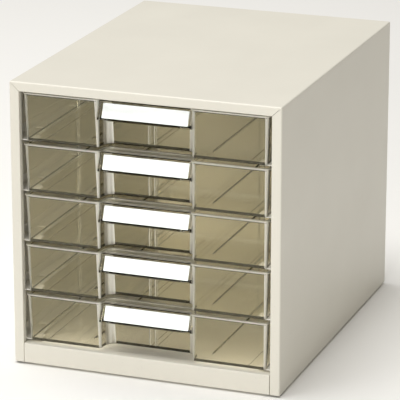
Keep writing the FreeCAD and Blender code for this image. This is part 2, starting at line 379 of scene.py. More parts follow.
@dataclass(frozen=True)
class SmokyPlastic(Finish):
    """Moulded see-through polystyrene with a brown-grey dye, a warm sheen and faint flow lines.

    Its upright corners and the edge of its rim carry a painted highlight, a light metallic colour.
    Its rounded lower edges, the foot of the rim, the lip of the label holder and the tops of the floor
    ribs carry painted shade, laid on as near-black metallic lines.
    Bands named height are shares of the tray's height. The bands of the edges, the lip's slope
    and the level tops are measured on the direction that a face looks in.
    """

    name: str
    tint: Colour
    lamp_tint: Colour
    dye: Colour = (0.55, 0.52, 0.42)
    dye_density: float = 10.0
    sheen: Colour = (1.0, 0.91, 0.53)
    clearness: float = 0.985
    roughness: float = 0.03
    cloud_size: float = 45 * MM
    cloud_shade: float = 0.965
    scuff_size: float = 9 * MM
    scuff_band: Band = Band(0.55, 0.75)
    scuff_roughness: float = 0.04
    flow_size: float = 26 * MM
    flow_depth: float = 0.05 * MM
    # Painted highlight: a light, rougher metallic colour on the upright corners and on the rim's edge.
    painted_highlight_colour: Colour = (0.96, 0.95, 0.90)
    painted_highlight_strength: float = 0.75
    painted_highlight_spread: float = 0.70
    painted_corner_highlight: Sequence[Point] = ((0.05, 0.0), (0.10, 1.0), (0.14, 0.45), (0.20, 0.45), (0.24, 1.0))
    painted_rim_highlight: float = 0.5
    painted_rim_highlight_height: Band = Band(0.962, 0.966)
    # Painted shade: near-black metallic lines on the rounded lower edges, under the rim, on the label lip
    # and on the floor ribs' tops.
    painted_shade_colour: Colour = (0.015, 0.012, 0.006)
    painted_shade_strength: float = 0.85
    painted_front_edge_shade: Band = Band(0.12, 0.30)
    painted_side_edge_shade: Band = Band(0.03, 0.12)
    painted_rim_shadow_height: Band = Band(0.944, 0.949, 0.961, 0.965)
    painted_lip_shade_height: Band = Band(0.603, 0.609, 0.637, 0.643)
    painted_lip_shade_slope: Band = Band(0.10, 0.20)
    painted_rib_shade_height: Band = Band(0.070, 0.074, 0.082, 0.086)
    # The level band picks the upward-facing tops of the floor ribs that get painted shade.
    level: Band = Band(0.85, 0.95)

    def material(self) -> bpy.types.Material:
        """Lay out the plastic's nodes.

        Returns:
            The finished material.
        """
        recipe = Recipe(self.name, {"IOR": 1.56, "Specular IOR Level": 0.32, "Specular Tint": self.sheen,
                                    "Transmission Weight": self.clearness})
        recipe.let_lamps_through(self.lamp_tint)
        recipe.fill(self.dye, self.dye_density)
        clouds = recipe.noise(self.cloud_size, detail=2.0)
        clear = recipe.blend(shaded(self.tint, self.cloud_shade), self.tint, clouds)
        # Painted highlight and painted shade, both mixed into the colour below.
        painted_highlight = self.painted_highlight(recipe)
        painted_shade = self.painted_shade_lines(recipe)
        with_painted_shade = recipe.blend(clear, self.painted_shade_colour, painted_shade)
        colour = recipe.blend(with_painted_shade, self.painted_highlight_colour, painted_highlight)
        scuffs = recipe.noise(self.scuff_size, detail=6.0, stretch=(1.0, 6.0, 1.0))
        worn = recipe.mask(scuffs, self.scuff_band)
        rough = worn * self.scuff_roughness + painted_highlight * self.painted_highlight_spread + self.roughness
        # Both painted marks are metallic: the highlight in a light colour, the shade in a near-black one.
        metallic = recipe.most(painted_highlight * self.painted_highlight_strength, painted_shade * self.painted_shade_strength)
        flow = recipe.noise(self.flow_size, detail=1.0, stretch=(1.0, 2.5, 1.0))
        ripple = recipe.relief(flow, self.flow_depth)
        return recipe.dress(Base_Color=colour, Roughness=rough, Metallic=metallic, Normal=ripple)

    def painted_highlight(self, recipe: Recipe) -> Signal:
        """Mask of the painted highlight on the upright corners and on the edge of the rim.

        Args:
            recipe: The finish that the mask belongs to.

        Returns:
            How strongly the highlight is painted at each point, from 0 to 1.
        """
        across, ahead, _ = recipe.facing()
        slant = across * ahead
        # Painted highlight on the rounded upright corners.
        corner = recipe.curve(slant * slant, self.painted_corner_highlight)
        # Painted highlight along the edge of the rim.
        rim = recipe.mask(recipe.share_of_height(), self.painted_rim_highlight_height)
        return recipe.most(corner, rim * self.painted_rim_highlight)

    def painted_shade_lines(self, recipe: Recipe) -> Signal:
        """Mask of the painted shade: edges that are painted as near-black lines.

        Args:
            recipe: The finish that the mask belongs to.

        Returns:
            How much painted shade each point gets, from 0 to 1.
        """
        across, ahead, up = recipe.facing()
        height = recipe.share_of_height()
        slope = ahead * up
        side = across * up
        # Painted shade on the rounded lower edges at the front and the sides.
        edge = recipe.most(recipe.mask(slope, self.painted_front_edge_shade), recipe.mask(side * side, self.painted_side_edge_shade))
        # Painted shadow under the rim.
        painted_rim_shadow = recipe.mask(height, self.painted_rim_shadow_height)
        # Painted shade along the lip of the label holder.
        lip = recipe.mask(height, self.painted_lip_shade_height) * recipe.mask(slope * -1.0, self.painted_lip_shade_slope)
        # Painted shade on the tops of the floor ribs.
        painted_rib_shade = recipe.mask(height, self.painted_rib_shade_height) * recipe.mask(up, self.level)
        return recipe.most(recipe.most(edge, painted_rim_shadow), recipe.most(lip, painted_rib_shade))


@dataclass(frozen=True)
class ClearStrip(Finish):
    """Clear extruded strip with fine lines along its length."""

    name: str
    tint: Colour = (0.97, 0.98, 0.97)
    roughness: float = 0.03
    line_size: float = 0.8 * MM
    line_depth: float = 0.002 * MM
    line_shade: float = 0.985
    line_roughness: float = 0.03

    def material(self) -> bpy.types.Material:
        """Lay out the strip's nodes.

        Returns:
            The finished material.
        """
        recipe = Recipe(self.name, {"IOR": 1.45, "Transmission Weight": 1.0})
        recipe.let_lamps_through(self.tint)
        lines = recipe.noise(self.line_size, detail=2.0, stretch=(60.0, 1.0, 1.0))
        colour = recipe.blend(shaded(self.tint, self.line_shade), self.tint, lines)
        rough = lines * self.line_roughness + self.roughness
        draw = recipe.relief(lines, self.line_depth)
        return recipe.dress(Base_Color=colour, Roughness=rough, Normal=draw)


@dataclass(frozen=True)
class CardPaper(Finish):
    """Uncoated white card with a fine pulp grain."""

    name: str
    colour: Colour = (0.87, 0.87, 0.865)
    shade: float = 0.97
    roughness: float = 0.72
    fibre: float = 0.6 * MM
    fibre_depth: float = 0.01 * MM
    fibre_roughness: float = 0.15
    cloud_size: float = 14 * MM

    def material(self) -> bpy.types.Material:
        """Lay out the card's nodes.

        Returns:
            The finished material.
        """
        recipe = Recipe(self.name, {"IOR": 1.4, "Specular IOR Level": 0.25})
        pulp = recipe.noise(self.fibre, detail=5.0, stretch=(3.0, 1.0, 1.0))
        clouds = recipe.noise(self.cloud_size, detail=2.0)
        colour = recipe.blend(shaded(self.colour, self.shade), self.colour, pulp * 0.5 + clouds * 0.5)
        rough = pulp * self.fibre_roughness + self.roughness
        grain = recipe.relief(pulp, self.fibre_depth)
        return recipe.dress(Base_Color=colour, Roughness=rough, Normal=grain)


@dataclass(frozen=True)
class FootRubber(Finish):
    """Dark rubber with a matt, slightly dusty skin."""

    name: str
    colour: Colour = (0.028, 0.027, 0.026)
    dust: Colour = (0.11, 0.105, 0.10)
    dust_size: float = 3 * MM
    dust_band: Band = Band(0.45, 0.75)
    dust_cover: float = 0.6
    dust_roughness: float = 0.2
    roughness: float = 0.6
    grain_size: float = 0.5 * MM
    grain_depth: float = 0.03 * MM

    def material(self) -> bpy.types.Material:
        """Lay out the rubber's nodes.

        Returns:
            The finished material.
        """
        recipe = Recipe(self.name, {"IOR": 1.5, "Specular IOR Level": 0.4})
        dusty = recipe.mask(recipe.noise(self.dust_size, detail=4.0), self.dust_band)
        colour = recipe.blend(self.colour, self.dust, dusty * self.dust_cover)
        rough = dusty * self.dust_roughness + self.roughness
        grain = recipe.relief(recipe.noise(self.grain_size, detail=2.0), self.grain_depth)
        return recipe.dress(Base_Color=colour, Roughness=rough, Normal=grain)


@dataclass(frozen=True)
class FloorPaper(Finish):
    """Seamless white studio paper."""

    name: str
    colour: Colour = (0.955, 0.945, 0.92)
    shade: float = 0.99
    cloud_size: float = 0.3
    cloud_roughness: float = 0.1
    roughness: float = 0.8

    def material(self) -> bpy.types.Material:
        """Lay out the paper's nodes.

        Returns:
            The finished material.
        """
        recipe = Recipe(self.name, {"Specular IOR Level": 0.1})
        clouds = recipe.noise(self.cloud_size, detail=2.0)
        colour = recipe.blend(shaded(self.colour, self.shade), self.colour, clouds)
        rough = clouds * self.cloud_roughness + self.roughness
        return recipe.dress(Base_Color=colour, Roughness=rough)


# Outlines and solids


class Corner(NamedTuple):
    """A corner of an outline, and the radius that rounds it."""

    x: float
    y: float
    radius: float = 0.0


def outline(corners: Sequence[Corner], steps: int = 6) -> list[Point]:
    """Points of a closed outline whose corners are rounded by arcs.

    Args:
        corners: The corners in order round the outline.
        steps: How many chords stand for each arc.

    Returns:
        The points; a corner with a radius has steps + 1 of them, and a sharp one has one.
    """
    points: list[Point] = []
    for index, corner in enumerate(corners):
        here = Vector(corner[:2])
        arriving = (here - Vector(corners[index - 1][:2])).normalized()
        leaving = (Vector(corners[(index + 1) % len(corners)][:2]) - here).normalized()
        if corner.radius == 0:
            points.append(tuple(here))
            continue
        turn = atan2(arriving.cross(leaving), arriving.dot(leaving))
        start = here - arriving * (corner.radius * tan(abs(turn) / 2))
        side = 1 if turn > 0 else -1
        centre = start + Vector((-arriving.y, arriving.x)) * (corner.radius * side)
        spoke = start - centre
        for step in range(steps + 1):
            angle = turn * step / steps
            points.append((centre.x + spoke.x * cos(angle) - spoke.y * sin(angle),
                           centre.y + spoke.x * sin(angle) + spoke.y * cos(angle)))
    return points


class Along(Enum):
    """The axis that a prism runs along."""

    X = 0
    Y = 1
    Z = 2

    def at(self, across: Point, distance: float) -> Vector:
        """Place a point by the axis.

        Args:
            across: Its two places across the axis.
            distance: How far it lies along the axis.

        Returns:
            The point.
        """
        place = list(across)
        place.insert(self.value, distance)
        return Vector(place)


class Solid:
    """A closed body of faces that can be turned, joined to others and cut."""

    WELD = 0.0005 * MM
    SHARP = radians(28)
    ROUNDING_STEPS = 3

    def __init__(self, mesh: bpy.types.Mesh | None = None) -> None:
        """Start empty, or from a mesh.

        Args:
            mesh: The mesh whose faces are copied.
        """
        self.faces = bmesh.new()
        if mesh:
            self.faces.from_mesh(mesh)

    @classmethod
    def stack(cls, rings: Sequence[Sequence[Vector]]) -> Solid:
        """Solid through rings of equally many points, closed at both ends.

        Args:
            rings: The rings, from one end to the other.

        Returns:
            The solid.
        """
        solid = cls()
        rows = [[solid.faces.verts.new(point) for point in ring] for ring in rings]
        count = len(rows[0])
        for lower, upper in zip(rows, rows[1:]):
            for here in range(count):
                after = (here + 1) % count
                solid.faces.faces.new((lower[here], lower[after], upper[after], upper[here]))
        solid.faces.faces.new(rows[0])
        solid.faces.faces.new(rows[-1])
        bmesh.ops.remove_doubles(solid.faces, verts=solid.faces.verts, dist=cls.WELD)
        bmesh.ops.dissolve_degenerate(solid.faces, dist=cls.WELD, edges=solid.faces.edges)
        bmesh.ops.recalc_face_normals(solid.faces, faces=solid.faces.faces)
        return solid

    @classmethod
    def prism(cls, points: Sequence[Point], along: Along, start: float, end: float) -> Solid:
        """Straight solid with one outline all along an axis."""
        return cls.stack([[along.at(point, distance) for point in points] for distance in (start, end)])

    @classmethod
    def bar(cls, low: Sequence[float], high: Sequence[float], edge: float = 0.0) -> Solid:
        """Box between two corners.

        Args:
            low: Its lowest corner.
            high: Its highest corner.
            edge: The radius that rounds all its edges, if any.

        Returns:
            The box.
        """
        points = [(low[0], low[1]), (high[0], low[1]), (high[0], high[1]), (low[0], high[1])]
        solid = cls.prism(points, Along.Z, low[2], high[2])
        return solid.rounded(edge, lambda every: True) if edge else solid

    @classmethod
    def lathe(cls, profile: Sequence[Point], centre: Sequence[float], steps: int = 32) -> Solid:
        """Solid turned about an upright axis.

        Args:
            profile: Radius and height of each ring, from one end to the other.
            centre: The axis in plan, and the height that the profile starts from.
            steps: How many flats go round.

        Returns:
            The turned solid.
        """
        rings = []
        for radius, height in profile:
            ring = []
            for step in range(steps):
                angle = 2 * pi * step / steps
                ring.append(Vector((centre[0] + radius * cos(angle), centre[1] + radius * sin(angle),
                                    centre[2] + height)))
            rings.append(ring)
        return cls.stack(rings)

    @classmethod
    def ball(cls, centre: Vector, radius: float) -> Solid:
        """Sphere for pressing a dimple.

        Args:
            centre: Its centre.
            radius: Its radius.

        Returns:
            The sphere.
        """
        solid = cls()
        bmesh.ops.create_icosphere(solid.faces, subdivisions=4, radius=radius,
                                   matrix=Matrix.Translation(centre))
        return solid

    @classmethod
    def gathered(cls, solids: Sequence[Solid]) -> Solid:
        """Several solids as one set of faces.

        Args:
            solids: The solids, which stay as they are.

        Returns:
            The whole.
        """
        whole = cls()
        for solid in solids:
            part = solid.mesh("part")
            whole.faces.from_mesh(part)
            bpy.data.meshes.remove(part)
        return whole

    def rounded(self, radius: float, chosen: Callable[[bmesh.types.BMEdge], bool]) -> Solid:
        """Round some of the edges of this solid.

        Args:
            radius: The radius.
            chosen: A test that picks the edges.

        Returns:
            This solid.
        """
        edges = [edge for edge in self.faces.edges if chosen(edge)]
        bmesh.ops.bevel(self.faces, geom=edges, offset=radius, offset_type="OFFSET",
                        segments=self.ROUNDING_STEPS, profile=0.5, affect="EDGES", clamp_overlap=True)
        return self

    def moved(self, matrix: Matrix) -> Solid:
        """Copy of this solid, moved by a matrix.

        Args:
            matrix: The matrix, which may also mirror.

        Returns:
            The copy.
        """
        copy = Solid()
        copy.faces = self.faces.copy()
        copy.faces.transform(matrix)
        if matrix.determinant() < 0:
            bmesh.ops.reverse_faces(copy.faces, faces=copy.faces.faces)
        return copy

    def shifted(self, x: float = 0.0, y: float = 0.0, z: float = 0.0) -> Solid:
        """Copy of this solid, slid along the axes."""
        return self.moved(Matrix.Translation((x, y, z)))

    def mirrored(self) -> Solid:
        """Copy of this solid on the other side of the middle plane."""
        return self.moved(Matrix.Scale(-1, 4, (1, 0, 0)))

    def joined(self, others: Sequence[Solid]) -> Solid:
        """This solid and others that it overlaps as one skin."""
        return self.combined(others, "UNION")

    def cut(self, others: Sequence[Solid]) -> Solid:
        """This solid less others."""
        return self.combined(others, "DIFFERENCE")

    def combined(self, others: Sequence[Solid], operation: str) -> Solid:
        """Join or cut by a boolean modifier that is applied at once.

        Args:
            others: The solids on the other side.
            operation: The modifier's operation.

        Returns:
            The new solid.
        """
        base = bpy.data.objects.new("base", self.mesh("base"))
        tool = bpy.data.objects.new("tool", Solid.gathered(others).mesh("tool"))
        for entry in (base, tool):
            bpy.context.scene.collection.objects.link(entry)
        modifier = base.modifiers.new("combine", "BOOLEAN")
        modifier.operation = operation
        modifier.solver = "EXACT"
        modifier.use_self = True
        modifier.object = tool
        whole = Solid(base.evaluated_get(bpy.context.evaluated_depsgraph_get()).to_mesh())
        bmesh.ops.remove_doubles(whole.faces, verts=whole.faces.verts, dist=self.WELD)
        bmesh.ops.dissolve_degenerate(whole.faces, dist=self.WELD, edges=whole.faces.edges)
        for entry in (base, tool):
            spent = entry.data
            bpy.data.objects.remove(entry)
            bpy.data.meshes.remove(spent)
        return whole

    def mesh(self, name: str) -> bpy.types.Mesh:
        """This solid's faces as a mesh, smooth except where its faces meet at an angle.

        Args:
            name: The mesh's name.

        Returns:
            The mesh.
        """
        for face in self.faces.faces:
            face.smooth = True
        for edge in self.faces.edges:
            edge.smooth = edge.calc_face_angle(HALF_TURN) < self.SHARP
        mesh = bpy.data.meshes.new(name)
        self.faces.to_mesh(mesh)
        return mesh


class Slot(Enum):
    """The record's material slots."""

    CASE = "case_paint"
    RUNNER = "runner_steel"
    TRAY = "smoky_plastic"
    COVER = "clear_plastic"
    CARD = "label_paper"
    FOOT = "foot_rubber"


@dataclass
class Wardrobe:
    """The finish of each slot, laid out once."""

    finishes: Mapping[Slot, Finish]

    def __post_init__(self) -> None:
        """Make every material."""
        self.materials = {slot: finish.material() for slot, finish in self.finishes.items()}

    def fit(self, solid: Solid, name: str, body: str, node: str, slot: Slot) -> bpy.types.Object:
        """Turn a solid into a piece of the object that stands for a node.

        Args:
            solid: The finished shape, in its place at rest.
            name: The piece's name.
            body: The body that it rides on.
            node: The node that it stands for.
            slot: The slot that its finish comes from.

        Returns:
            The piece.
        """
        piece = bpy.data.objects.new(name, solid.mesh(name))
        bpy.context.scene.collection.objects.link(piece)
        piece.data.materials.append(self.materials[slot])
        shading = piece.modifiers.new("face shading", "WEIGHTED_NORMAL")
        shading.keep_sharp = True
        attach(piece, body)
        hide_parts(node)
        LOG.info("%s: %d faces, on %s", name, len(piece.data.polygons), body)
        return piece


# The steel case


@dataclass
class SteelCase:
    """Folded casing with its plinth, floor and back."""

    wardrobe: Wardrobe
    body: str = "cabinet"
    sheet: float = 0.8 * MM
    bend: float = 1.6 * MM
    fold: float = 0.6 * MM
    raw_edge: float = 0.2 * MM
    side_flange: float = 9.5 * MM
    top_flange: float = 9.0 * MM
    flange_return: float = 6.5 * MM
    bottom_return: float = 12.0 * MM
    bottom_overlap: float = 7.9 * MM
    seam: float = 0.3 * MM
    gap: float = 0.1 * MM
    plinth_return: float = 8.0 * MM
    plinth_end: float = 6.0 * MM
    plinth_fold: float = 0.9 * MM
    pan_bend: float = 1.2 * MM
    back_fold: float = 0.72 * MM
    bend_steps: int = 6

    def __post_init__(self) -> None:
        """Take the outside sizes from the frame."""
        low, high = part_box("casing_shell")
        self.half = high.x
        self.front = low.y
        self.back = high.y
        self.base = low.z
        self.top = high.z

    def flange_inset(self, inset: float) -> float:
        """Match the insets of flanges of unlike width, so that they meet along the mitre.

        Args:
            inset: An inset from a side.

        Returns:
            The inset from the top that belongs to it.
        """
        if inset <= self.bend:
            return inset
        share = (inset - self.bend) / (self.side_flange - self.bend)
        return self.bend + share * (self.top_flange - self.bend)

    def section(self) -> list[Point]:
        """Section through the casing: skin, front bend, flange, fold and return.

        Returns:
            Its points as inset and y.
        """
        inner = self.sheet
        flange = self.side_flange
        end = self.front + self.flange_return
        corners = [Corner(0, self.back, self.raw_edge),
                   Corner(0, self.front, self.bend),
                   Corner(flange, self.front, self.fold),
                   Corner(flange, end, self.raw_edge),
                   Corner(flange - inner, end, self.raw_edge),
                   Corner(flange - inner, self.front + inner, self.raw_edge),
                   Corner(inner, self.front + inner, self.bend - inner),
                   Corner(inner, self.back, self.raw_edge)]
        return outline(corners, self.bend_steps)

    def corner_ring(self, section: Sequence[Point], turn: float, side: int) -> list[Vector]:
        """Section of the casing part of the way round a top corner.

        Args:
            section: The section as inset and y.
            turn: The angle turned from the side towards the top.
            side: 1 on the right and -1 on the left.

        Returns:
            The section's points in space.
        """
        ring = []
        for inset, y in section:
            radius = max(self.bend - inset, 0.0)
            x = self.half - max(inset, self.bend) + radius * cos(turn)
            z = self.top - max(self.flange_inset(inset), self.bend) + radius * sin(turn)
            ring.append(Vector((side * x, y, z)))
        return ring

    def casing(self) -> Solid:
        """Top and sides folded from one sheet, with flanges round the front opening.

        Returns:
            The casing, with its bottom returns and the slots of its mitres.
        """
        section = self.section()
        turns = [QUARTER_TURN * step / self.bend_steps for step in range(self.bend_steps + 1)]
        rings = [[Vector((self.half - inset, y, self.base)) for inset, y in section]]
        rings += [self.corner_ring(section, turn, 1) for turn in turns]
        rings += [self.corner_ring(section, turn, -1) for turn in reversed(turns)]
        rings.append([Vector((inset - self.half, y, self.base)) for inset, y in section])
        lip = self.bottom_lip()
        seam = self.mitre_seam()
        return Solid.stack(rings).joined([lip, lip.mirrored()]).cut([seam, seam.mirrored()])

    def bottom_lip(self) -> Solid:
        """Return along the foot of the right side.

        Returns:
            The return, which runs in beside the back panel.
        """
        inner = self.half - self.sheet
        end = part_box("back_panel")[0].y + self.bottom_overlap
        return Solid.bar((inner - self.bottom_return, self.front + self.flange_return, self.base),
                         (self.half - self.sheet / 2, end, self.base + self.sheet))

    def mitre_seam(self) -> Solid:
        """Thin slot along the mitre of the right front corner.

        Returns:
            The solid that cuts it.
        """
        full = hypot(self.side_flange, self.top_flange)
        across = self.side_flange / full
        up = self.top_flange / full
        length = full - self.bend * 2 + self.sheet
        start = Vector((self.half - self.side_flange, self.top - self.top_flange))
        along = Vector((across, up))
        aside = Vector((-up, across)) * (self.seam / 2)
        ends = (start - along * (self.sheet * 2), start + along * length)
        points = [ends[0] + aside, ends[1] + aside, ends[1] - aside, ends[0] - aside]
        return Solid.prism([tuple(point) for point in points], Along.Y,
                           self.front - self.sheet, self.front + self.flange_return + self.sheet)

    def plinth(self) -> Solid:
        """Bent panel between the flanges, with a lip over the floor and returns at its ends.

        Returns:
            The plinth.
        """
        low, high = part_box("front_plinth")
        sheet = self.sheet
        front, top = low.y, high.z
        raw_front = front + self.raw_edge
        section = outline([Corner(front, low.z, self.raw_edge),
                           Corner(front + sheet, low.z, self.raw_edge),
                           Corner(front + sheet, top - sheet, self.raw_edge),
                           Corner(high.y, top - sheet, self.raw_edge),
                           Corner(high.y, top, self.raw_edge),
                           Corner(front, top, self.plinth_fold)])
        face = Solid.prism(section, Along.X, -high.x, high.x)
        bottom_half = self.half - sheet - self.bottom_return - self.gap
        bottom = Solid.bar((-bottom_half, raw_front, low.z),
                           (bottom_half, front + self.plinth_return, low.z + sheet))
        end = Solid.bar((high.x - sheet, raw_front, low.z),
                        (high.x, front + self.plinth_end, top - self.raw_edge))
        return face.joined([bottom, end, end.mirrored()])

    def floor_pan(self) -> Solid:
        """Plate with its four edges turned down, open below.

        Returns:
            The floor.
        """
        low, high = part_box("floor_panel")
        inner = self.sheet
        radius = self.pan_bend
        rings = []
        for step in range(self.bend_steps + 1):
            angle = QUARTER_TURN * step / self.bend_steps
            rings.append((radius * (1 - sin(angle)), high.z - radius * (1 - cos(angle))))
        rings += [(0, low.z + self.raw_edge), (self.raw_edge, low.z), (inner - self.raw_edge, low.z),
                  (inner, low.z + self.raw_edge)]
        for step in range(self.bend_steps, -1, -1):
            angle = QUARTER_TURN * step / self.bend_steps
            inside = radius - inner
            rings.append((inner + inside * (1 - sin(angle)), high.z - inner - inside * (1 - cos(angle))))
        return Solid.stack([self.plan_ring(low, high, inset, height) for inset, height in rings])

    def plan_ring(self, low: Vector, high: Vector, inset: float, height: float) -> list[Vector]:
        """Rectangle in plan with small round corners.

        Args:
            low: One corner of the panel.
            high: The corner across from it.
            inset: How far the rectangle is moved inwards.
            height: The height that it lies at.

        Returns:
            Its points.
        """
        radius = max(self.bend - inset, self.raw_edge)
        corners = [Corner(low.x + inset, low.y + inset, radius),
                   Corner(high.x - inset, low.y + inset, radius),
                   Corner(high.x - inset, high.y - inset, radius),
                   Corner(low.x + inset, high.y - inset, radius)]
        return [Vector((x, y, height)) for x, y in outline(corners, steps=3)]

    def back_sheet(self) -> Solid:
        """Back plate set into the case, with its edges turned forwards at the top and sides.

        Returns:
            The back.
        """
        low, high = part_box("back_panel")
        sheet = self.sheet
        floor_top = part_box("floor_panel")[1].z
        face = Solid.prism([(low.x, low.z), (high.x, low.z), (high.x, high.z), (low.x, high.z)], Along.Y,
                           high.y - sheet, high.y)

        def outer_back_edge(edge: bmesh.types.BMEdge) -> bool:
            """Whether an edge runs along the back of the plate, except at its foot."""
            middle = (edge.verts[0].co + edge.verts[1].co) / 2
            return middle.y > high.y - sheet / 4 and middle.z > low.z + sheet

        face.rounded(self.back_fold, outer_back_edge)
        side = Solid.bar((high.x - sheet, low.y, floor_top + self.gap), (high.x, high.y - sheet / 2, high.z))
        upper = Solid.bar((low.x, low.y, high.z - sheet), (high.x, high.y - sheet / 2, high.z))
        return face.joined([side, side.mirrored(), upper])

    def build(self) -> None:
        """Make and dress the four sheets."""
        shapes = {"casing_shell": self.casing(), "front_plinth": self.plinth(),
                  "floor_panel": self.floor_pan(), "back_panel": self.back_sheet()}
        for node, solid in shapes.items():
            self.wardrobe.fit(solid, f"steel_{node}", self.body, node, Slot.CASE)


@dataclass
class RunnerSet:
    """Ledges that the drawers slide on, and the guides over the top drawer."""

    wardrobe: Wardrobe
    drawers: int
    body: str = "cabinet"
    sheet: float = 0.9 * MM
    bend: float = 1.2 * MM
    raw_edge: float = 0.15 * MM
    tab_length: float = 13.5 * MM
    tab_reach: float = 4.4 * MM
    tab_corner: float = 2.0 * MM
    weld_depth: float = 0.25 * MM
    weld_press: float = 6.0 * MM
    welds: int = 4

    def angle(self, low: Vector, high: Vector, ledge_reach: float, upright: float) -> Solid:
        """Right-hand angle section, its ledge at the bottom and its web against the case.

        Args:
            low: The lowest corner of the node.
            high: Its highest corner.
            ledge_reach: How far from the middle the ledge starts.
            upright: The height of the top of the web.

        Returns:
            The angle, with the dimples of its welds.
        """
        sheet = self.sheet
        edge = self.raw_edge
        section = outline([Corner(ledge_reach, low.z, edge), Corner(high.x, low.z, self.bend),
                           Corner(high.x, upright, edge), Corner(high.x - sheet, upright, edge),
                           Corner(high.x - sheet, low.z + sheet, self.bend - sheet),
                           Corner(ledge_reach, low.z + sheet, edge)], steps=4)
        angle = Solid.prism(section, Along.Y, low.y, high.y)
        across = high.x - sheet - self.weld_press + self.weld_depth
        dents = []
        for number in range(self.welds):
            along = low.y + (high.y - low.y) * (number + 0.5) / self.welds
            dents.append(Solid.ball(Vector((across, along, (low.z + upright) / 2)), self.weld_press))
        return angle.cut(dents)

    def runner(self) -> Solid:
        """Right-hand runner of the first drawer, with its wider tab in front.

        Returns:
            The runner.
        """
        low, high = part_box("right_runner_1")
        ledge_reach = low.x + self.tab_reach
        angle = self.angle(low, high, ledge_reach, high.z)
        end = low.y + self.tab_length
        plan = outline([Corner(low.x, low.y, self.tab_corner), Corner(ledge_reach + self.sheet, low.y),
                        Corner(ledge_reach + self.sheet, end), Corner(low.x, end, self.tab_corner)], steps=5)
        return angle.joined([Solid.prism(plan, Along.Z, low.z, low.z + self.sheet)])

    def build(self) -> None:
        """Make a runner once, and set copies of it for every drawer."""
        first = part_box("right_runner_1")[0].z
        right = self.runner()
        hands = {"right": right, "left": right.mirrored()}
        for number in range(1, self.drawers + 1):
            for hand, runner in hands.items():
                node = f"{hand}_runner_{number}"
                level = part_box(node)[0].z - first
                self.wardrobe.fit(runner.shifted(z=level), f"steel_{node}", self.body, node, Slot.RUNNER)
        low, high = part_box("right_top_guide")
        guide = self.angle(low, high, low.x, high.z)
        for hand, solid in (("right", guide), ("left", guide.mirrored())):
            node = f"{hand}_top_guide"
            self.wardrobe.fit(solid, f"steel_{node}", self.body, node, Slot.RUNNER)


@dataclass
class FootSet:
    """Four round rubber feet with a hollow centre."""

    wardrobe: Wardrobe
    body: str = "cabinet"
    chamfer: float = 0.5 * MM
    bulge: float = 0.15 * MM
    hollow_radius: float = 2.0 * MM
    hollow_end: float = 1.8 * MM
    hollow_depth: float = 1.1 * MM

    def foot(self, node: str) -> Solid:
        """One foot, turned from its rounded rim to its hollow centre.

        Args:
            node: The node that gives its place and size.

        Returns:
            The foot.
        """
        low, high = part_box(node)
        radius = (high.x - low.x) / 2
        height = high.z - low.z
        centre = ((low.x + high.x) / 2, (low.y + high.y) / 2, low.z)
        profile = [(radius, height), (radius, self.chamfer), (radius - self.bulge, self.bulge),
                   (radius - self.chamfer, 0.0), (self.hollow_radius + self.chamfer, 0.0),
                   (self.hollow_radius, self.chamfer), (self.hollow_end, self.hollow_depth)]
        return Solid.lathe(profile, centre)

    def build(self) -> None:
        """Make and dress the feet."""
        for end in ("front", "back"):
            for hand in ("left", "right"):
                node = f"foot_{end}_{hand}"
                self.wardrobe.fit(self.foot(node), f"rubber_{node}", self.body, node, Slot.FOOT)


# The drawers


